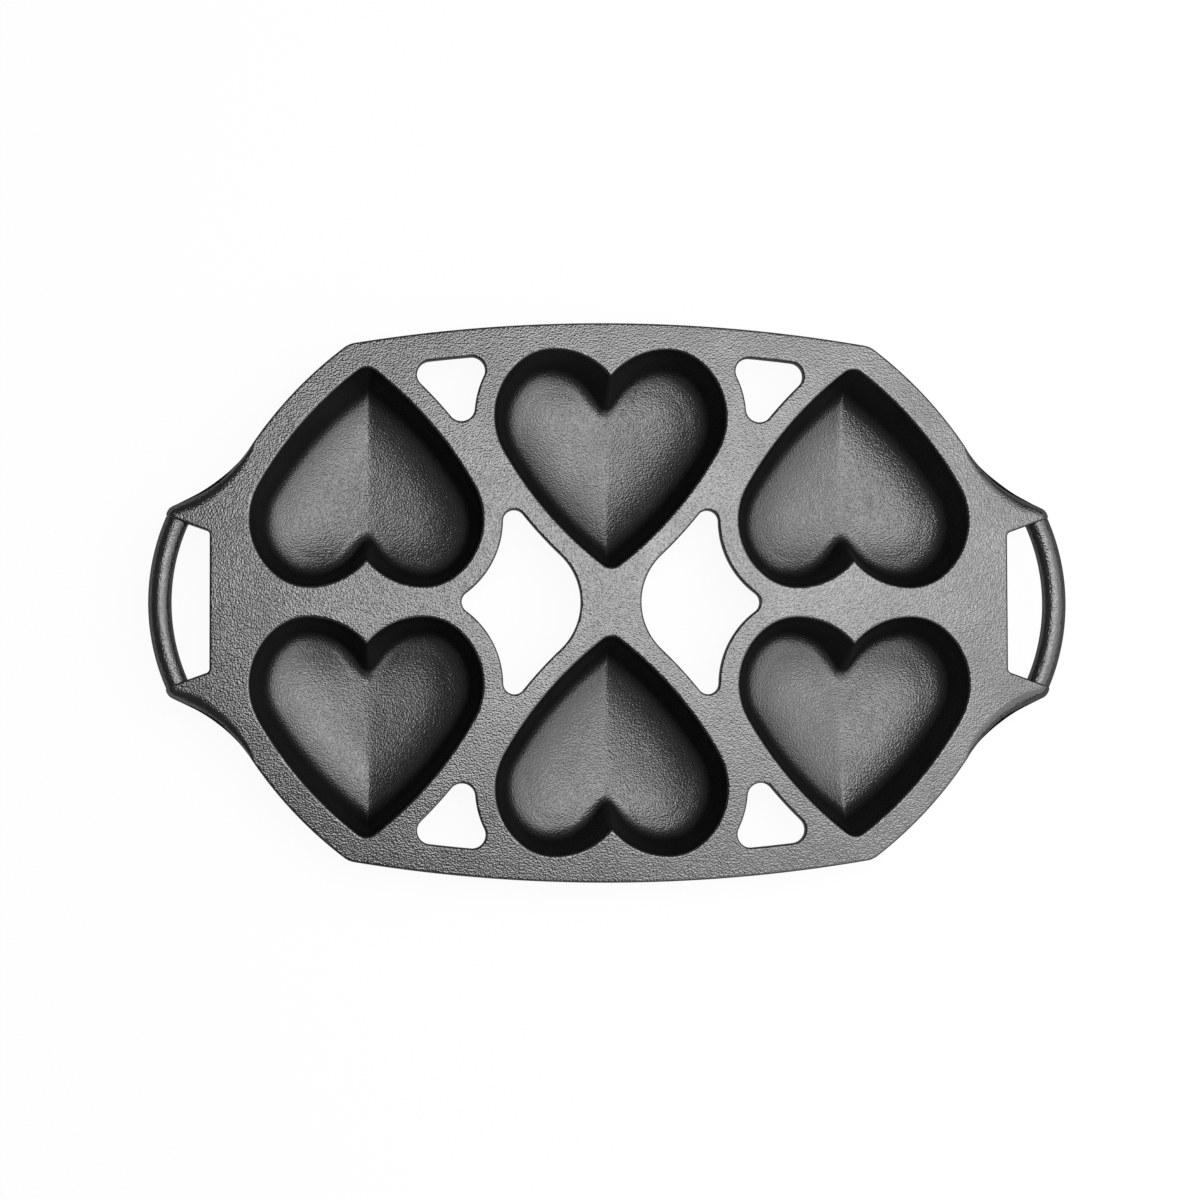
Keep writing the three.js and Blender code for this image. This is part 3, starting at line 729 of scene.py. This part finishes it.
# %% Strips for the deck's edges
HORN_SWELL = 26.0
ROUND_STEPS = 8
LOWER_SHARE = 0.7
swell_start = horn_corner.real - HORN_SWELL


def underside_at(points):
    share = np.clip((np.abs(points.real) - swell_start) / HORN_SWELL, 0, 1)
    return underside - (underside - grip_bottom) * share


def edge_strip(name, points, reach, out, drop):
    rings = [ring(points - reach - FLAT_STRIP * out, PAN_HEIGHT)]
    for angle in np.linspace(0, math.pi / 2, ROUND_STEPS + 1):
        line = points - reach * (1 - math.sin(angle))
        rings.append(ring(line, PAN_HEIGHT - drop * (1 - math.cos(angle))))
    for angle in np.linspace(0, math.pi / 2, ROUND_STEPS // 2 + 1):
        line = points - reach * LOWER_SHARE * (1 - math.cos(angle))
        rings.append(ring(line, underside_at(line) + drop * LOWER_SHARE * (1 - math.sin(angle))))
    line = points - reach * LOWER_SHARE - FLAT_STRIP * out
    rings.append(ring(line, underside_at(line)))
    return skin(name, rings)


strips = [edge_strip("deck_cast", *deck_edge)]
for points, out in (kite, triangle, [np.conj(values) for values in triangle]):
    for mirror in (np.array, mirror_x):
        edge, lean = mirror(points), -mirror(out)
        strips.append(edge_strip("window", edge, EDGE_ROUND * lean, lean, np.full(len(edge), EDGE_ROUND)))
opening = whole_heart(heart_half(-rim_land))
for place, tip in cup_places.values():
    strips.append(skin("opening", [ring(place + tip * opening, z) for z in (PAN_HEIGHT, underside)]))
print("strips:", len(strips))

# %% [markdown]
# The strips are joined, and the fill operator closes the flat top between all their upper loops, with the windows
# and cups as holes, and then the underside. The fill's long triangles stay flat shaded, because they are flat. The
# underside is cut where the swell begins, so that it folds there and nowhere else.

# %% The deck
bpy.ops.object.select_all(action="DESELECT")
for strip in strips:
    strip.select_set(True)
deck = strips[0]
bpy.context.view_layer.objects.active = deck
bpy.ops.object.join()
merge_and_face_out(deck)
edge_faces = len(deck.data.polygons)
for top in (True, False):
    places = np.array([v.co.z for v in deck.data.vertices])
    ends = np.array([e.vertices[:] for e in deck.data.edges])
    loop = open_edges(deck)
    on_top = places[ends[loop]].min(axis=1) > (PAN_HEIGHT - EDGE_ROUND / 2) * MM
    select_edges(deck, loop[on_top == top])
    bpy.ops.mesh.fill(use_beauty=True)
    bpy.ops.object.mode_set(mode="OBJECT")
flat = deck.data.attributes.new("flat", "BOOLEAN", "FACE")
for i in range(edge_faces, len(deck.data.polygons)):
    flat.data[i].value = True
print("deck:", edge_faces, "edge faces,", len(deck.data.polygons), "faces,", len(open_edges(deck)), "open edges")

# %% The deck's underside and shading
bpy.ops.object.mode_set(mode="EDIT")
for side in (-1, 1):
    bpy.ops.mesh.select_all(action="SELECT")
    bpy.ops.mesh.bisect(plane_co=(side * swell_start * MM, 0, 0), plane_no=(1, 0, 0))
bpy.ops.object.mode_set(mode="OBJECT")
for vertex in deck.data.vertices:
    if abs(vertex.co.x) <= swell_start * MM + MERGE:
        vertex.co.z = max(vertex.co.z, underside * MM)
merge_and_face_out(deck)
bpy.ops.object.select_all(action="DESELECT")
deck.select_set(True)
bpy.ops.object.shade_smooth_by_angle(angle=SMOOTH_ANGLE)
flat = deck.data.attributes["flat"]
for face in deck.data.polygons:
    face.use_smooth = not flat.data[face.index].value
deck.data.attributes.remove(flat)
pan_pieces["deck"] = deck
print("deck:", len(deck.data.vertices), "points,", len(open_edges(deck)), "open edges")

# %% [markdown]
# Each grip is an oval bar, bowed outwards between two horns. A circle is set upright on the bow, flattened a
# little, and spun about the bow's centre. Two bisect cuts trim the bar to the horns' inner faces and close its
# ends.

# %% The grips
GRIP_SIDES = 56
GRIP_STEPS = 80
for name, side in (("right_grip", 1), ("left_grip", -1)):
    bpy.ops.object.select_all(action="DESELECT")
    bow = math.asin((horn_corner.imag + GRIP_WIDTH) / GRIP_SWEEP_R)
    bpy.ops.mesh.primitive_circle_add(vertices=GRIP_SIDES, radius=1, rotation=(math.pi / 2, 0, 0))
    grip = bpy.context.object
    grip.name = grip.data.name = name + "_cast"
    grip.scale = (GRIP_WIDTH / 2 * MM, GRIP_HEIGHT / 2 * MM, 1)
    grip.location = ((grip_centre_x + GRIP_SWEEP_R) * MM, 0, (grip_top - GRIP_HEIGHT / 2) * MM)
    bpy.ops.object.transform_apply(location=True, rotation=True, scale=True)
    centre = Vector((grip_centre_x * MM, 0, 0))
    to_centre = Matrix.Translation(centre)
    grip.data.transform(to_centre @ Matrix.Rotation(-bow, 4, "Z") @ to_centre.inverted())
    bpy.ops.object.mode_set(mode="EDIT")
    bpy.ops.mesh.select_all(action="SELECT")
    bpy.ops.mesh.spin(steps=GRIP_STEPS, angle=2 * bow, center=centre, axis=(0, 0, -1))
    for end in (1, -1):
        bpy.ops.mesh.select_all(action="SELECT")
        cut = Vector((deck_end * MM, end * gap_corner.imag * MM, 0))
        facing = Vector((-math.sin(HORN_FLARE), end * math.cos(HORN_FLARE), 0))
        bpy.ops.mesh.bisect(plane_co=cut, plane_no=facing, use_fill=True, clear_outer=True)
    bpy.ops.object.mode_set(mode="OBJECT")
    if side < 0:
        grip.data.transform(Matrix.Rotation(math.pi, 4, "Z"))
    merge_and_face_out(grip)
    bpy.ops.object.select_all(action="DESELECT")
    grip.select_set(True)
    bpy.ops.object.shade_smooth_by_angle(angle=SMOOTH_ANGLE)
    pan_pieces[name] = grip
    print(name, len(grip.data.vertices), "points,", len(open_edges(grip)), "open edges")

# %% [markdown]
# The iron is seasoned: a thin, dark, baked-on oil film over a surface that still shows the grain of the sand. It
# has almost no colour of its own. What the eye sees is the soft gloss of the film, broken by the grain. A black paint
# with a clear gloss would flare on the steep walls, and in the photograph they stay black. So the film is a dark
# metal, and a dark tint holds its edge gloss down. The roughness varies in patches and is higher inside the cups, and
# two bump layers give the slow waves of a cast surface and its pebbly grain. Object coordinates keep one pattern over
# the whole casting, across the sections.

# %% Seasoned iron
iron = bpy.data.materials.new("seasoned_iron")
iron.use_nodes = True
nodes, links = iron.node_tree.nodes, iron.node_tree.links
surface = nodes["Principled BSDF"]
surface.inputs["Metallic"].default_value = 0.95
surface.inputs["Specular Tint"].default_value = (0.3, 0.3, 0.3, 1)
coordinates = nodes.new("ShaderNodeTexCoord").outputs["Object"]


def noise(scale, detail):
    node = nodes.new("ShaderNodeTexNoise")
    node.inputs["Scale"].default_value = scale
    node.inputs["Detail"].default_value = detail
    links.new(coordinates, node.inputs["Vector"])
    return node.outputs["Fac"]


def ramp(value, *stops):
    node = nodes.new("ShaderNodeValToRGB")
    elements = node.color_ramp.elements
    for element, (position, colour) in zip(elements, stops):
        element.position = position
        element.color = (*colour, 1)
    links.new(value, node.inputs["Fac"])
    return node.outputs["Color"]


def spread(value, low, high):
    """Most of a noise lies between 0.3 and 0.7, which is spread over low to high."""
    node = nodes.new("ShaderNodeMapRange")
    node.inputs["From Min"].default_value = 0.3
    node.inputs["From Max"].default_value = 0.7
    node.inputs["To Min"].default_value = low
    node.inputs["To Max"].default_value = high
    links.new(value, node.inputs["Value"])
    return node.outputs["Result"]


def bump(height, distance, strength, normal=None):
    node = nodes.new("ShaderNodeBump")
    node.inputs["Distance"].default_value = distance
    node.inputs["Strength"].default_value = strength
    links.new(height, node.inputs["Height"])
    if normal:
        links.new(normal, node.inputs["Normal"])
    return node.outputs["Normal"]


CUP_MOUTH, CUP_INSIDE = 0.031, 0.024  # heights in metres
height = nodes.new("ShaderNodeSeparateXYZ")
links.new(coordinates, height.inputs["Vector"])
in_cup = nodes.new("ShaderNodeMapRange")
in_cup.interpolation_type = "SMOOTHSTEP"
in_cup.inputs["From Min"].default_value = CUP_MOUTH
in_cup.inputs["From Max"].default_value = CUP_INSIDE
links.new(height.outputs["Z"], in_cup.inputs["Value"])


def more_in_cup(value, more):
    node = nodes.new("ShaderNodeMath")
    node.operation = "MULTIPLY_ADD"
    node.inputs[1].default_value = more
    links.new(in_cup.outputs["Result"], node.inputs[0])
    if isinstance(value, float):
        node.inputs[2].default_value = value
    else:
        links.new(value, node.inputs[2])
    return node.outputs["Value"]


GRAIN_DEPTH = 0.00018
GRAIN_MORE_IN_CUP = 0.00005
film = ramp(noise(45, 4), (0.35, (0.089, 0.089, 0.09)), (0.65, (0.102, 0.1015, 0.101)))
links.new(film, surface.inputs["Base Color"])
links.new(more_in_cup(spread(noise(70, 3), 0.23, 0.28), 0.1), surface.inputs["Roughness"])
waves = bump(noise(160, 2), 0.0004, 0.06)
grain = bump(noise(1350, 0.4), GRAIN_DEPTH, 1.0, waves)
links.new(more_in_cup(GRAIN_DEPTH, GRAIN_MORE_IN_CUP), grain.node.inputs["Distance"])
links.new(grain, surface.inputs["Normal"])
for piece in pan_pieces.values():
    piece.data.materials.clear()
    piece.data.materials.append(iron)
print("iron on", len(pan_pieces), "pieces")

# %% [markdown]
# Each piece takes the place of its CAD node and moves with the pan's one body.

# %% Pieces stand for their CAD nodes
for name, piece in pan_pieces.items():
    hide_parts(name)
    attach(piece, "root")
print("triangles:", sum(len(f.vertices) - 2 for p in pan_pieces.values() for f in p.data.polygons))

# %% [markdown]
# The gloss in the photograph tells of two lights overhead, both more to the right than to the left: a bright strip
# along the middle and a large dim panel. The iron mirrors them, so they set where the deck is bright and where the
# floors of the cups turn black. Both are plain area lamps, too soft to cast a hard shadow, and together they light
# the pan at about the level at which a colour looks as it is written.

# %% Strip and panel
LAMP_HEIGHT = 0.95


def overhead_lamp(name, shape, size, place, radiance):
    lamp = bpy.data.lights.new(name, "AREA")
    lamp.shape = shape
    lamp.size, lamp.size_y = size
    area = size[0] * size[1] * (math.pi / 4 if shape == "ELLIPSE" else 1)
    lamp.energy = radiance * math.pi * area
    holder = bpy.data.objects.new(name, lamp)
    holder.location = (*place, LAMP_HEIGHT)
    holder.visible_camera = False
    bpy.context.scene.collection.objects.link(holder)
    print(name, "energy, W:", round(lamp.energy, 1))


overhead_lamp("strip", "ELLIPSE", (0.92, 0.37), (0.12, 0.12), 6.7)
overhead_lamp("panel", "RECTANGLE", (2.1, 2.35), (1.16, -0.325), 1.75)

# %% [markdown]
# The pan lies on a white sweep. The floor is nearly all white to the camera, and keeps a share of real shading, so
# that the pan's shadow stays on it. Round the sweep the world is white low down and dark overhead, and it gives the
# iron only a little even light.

# %% World and floor
FILL_LIGHT = 0.12
BACKDROP_TOP = (0.03, 0.2)  # the white backdrop fades out between these heights of the view direction
CEILING = 0.11
FLOOR_GLOW = 0.94
FLOOR_RADIUS = 8  # metres


def seen_directly(tree):
    """1 for rays that show the background: from the camera, in gloss and through glass."""
    path = tree.nodes.new("ShaderNodeLightPath")
    total = path.outputs["Is Camera Ray"]
    for kind in ("Is Glossy Ray", "Is Transmission Ray"):
        either = tree.nodes.new("ShaderNodeMath")
        either.operation = "MAXIMUM"
        tree.links.new(total, either.inputs[0])
        tree.links.new(path.outputs[kind], either.inputs[1])
        total = either.outputs[0]
    return total


world = bpy.data.worlds.new("studio")
bpy.context.scene.world = world
world.use_nodes = True
sky = world.node_tree
direction = sky.nodes.new("ShaderNodeSeparateXYZ")
sky.links.new(sky.nodes.new("ShaderNodeTexCoord").outputs["Generated"], direction.inputs["Vector"])
backdrop = sky.nodes.new("ShaderNodeMapRange")
backdrop.interpolation_type = "SMOOTHSTEP"
backdrop.inputs["From Min"].default_value = BACKDROP_TOP[0]
backdrop.inputs["From Max"].default_value = BACKDROP_TOP[1]
backdrop.inputs["To Min"].default_value = 1.0
backdrop.inputs["To Max"].default_value = CEILING
sky.links.new(direction.outputs["Z"], backdrop.inputs["Value"])
strength = sky.nodes.new("ShaderNodeMapRange")
strength.inputs["To Min"].default_value = FILL_LIGHT
sky.links.new(seen_directly(sky), strength.inputs["Value"])
sky.links.new(backdrop.outputs["Result"], strength.inputs["To Max"])
sky.nodes["Background"].inputs["Color"].default_value = (1, 1, 1, 1)
sky.links.new(strength.outputs["Result"], sky.nodes["Background"].inputs["Strength"])

bpy.ops.object.select_all(action="DESELECT")
bpy.ops.mesh.primitive_circle_add(vertices=96, radius=FLOOR_RADIUS, fill_type="NGON")
floor = bpy.context.object
floor.name = floor.data.name = "sweep_floor"
paper = bpy.data.materials.new("white_sweep")
paper.use_nodes = True
sheet = paper.node_tree
matte = sheet.nodes["Principled BSDF"]
matte.inputs["Base Color"].default_value = (0.9, 0.9, 0.9, 1)
matte.inputs["Roughness"].default_value = 0.9
matte.inputs["Specular IOR Level"].default_value = 0.1
glow = sheet.nodes.new("ShaderNodeEmission")
blend = sheet.nodes.new("ShaderNodeMixShader")
share = sheet.nodes.new("ShaderNodeMath")
share.operation = "MULTIPLY"
share.inputs[1].default_value = FLOOR_GLOW
sheet.links.new(seen_directly(sheet), share.inputs[0])
sheet.links.new(share.outputs[0], blend.inputs["Fac"])
sheet.links.new(matte.outputs["BSDF"], blend.inputs[1])
sheet.links.new(glow.outputs["Emission"], blend.inputs[2])
sheet.links.new(blend.outputs["Shader"], sheet.nodes["Material Output"].inputs["Surface"])
floor.data.materials.append(paper)
bpy.context.scene.view_settings.view_transform = "Standard"
print("floor and world ready")
